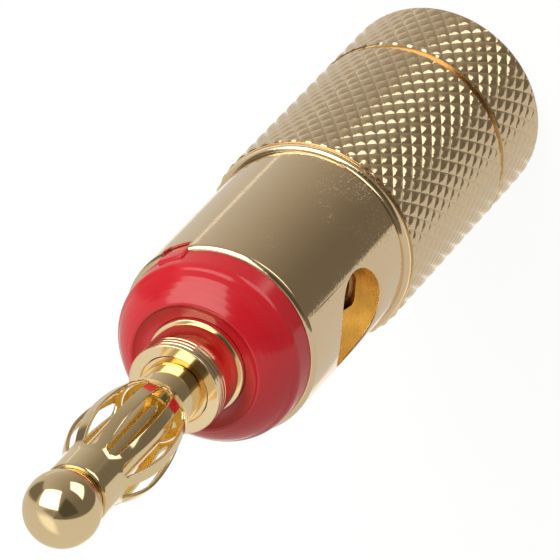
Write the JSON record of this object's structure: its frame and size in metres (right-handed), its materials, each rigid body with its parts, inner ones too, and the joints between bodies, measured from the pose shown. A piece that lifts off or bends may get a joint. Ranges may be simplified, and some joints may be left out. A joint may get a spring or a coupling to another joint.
{
  "type": "banana plug",
  "caption": "Banana plug with a sprung lantern pin, a red insulator ring, a barrel with a cross hole and a knurled screw-on clamp cap.",
  "frame": {"origin": "centre of the flat rear face of the knurled cap, on the plug's axis", "axes": "+Z along the plug's axis from the rear face to the ball tip, +X out of the cross hole for the wire"},
  "size_m": [0.011, 0.011, 0.0478],
  "materials": {
    "pin_plating": "polished gold plating",
    "spring_plating": "bright gold plating on rolled spring metal",
    "ring_plastic": "glossy moulded plastic",
    "body_plating": "polished pale gold plating",
    "knurl_plating": "diamond knurl under pale gold plating"
  },
  "bodies": {
    "cap": {"knurled_cap": "knurl_plating"},
    "lantern": {"lantern_spring": "spring_plating"},
    "barrel": {"barrel": "body_plating", "insulator_ring": "ring_plastic", "pin_base": "pin_plating", "pin": "pin_plating"}
  },
  "joints": [
    {"name": "screw_travel", "type": "slide", "parent": "cap", "child": "lantern", "axis": [0, 0, 1], "range_m": [0, 0.0032]},
    {"name": "screw_turn", "type": "hinge", "parent": "lantern", "child": "barrel", "pos_m": [0, 0, 0], "axis": [0, 0, 1], "range_deg": [0, 1440]}
  ],
  "couplings": [
    {"joint": "screw_travel", "follows": "screw_turn", "m_per_rad": 0.00012732}
  ]
}
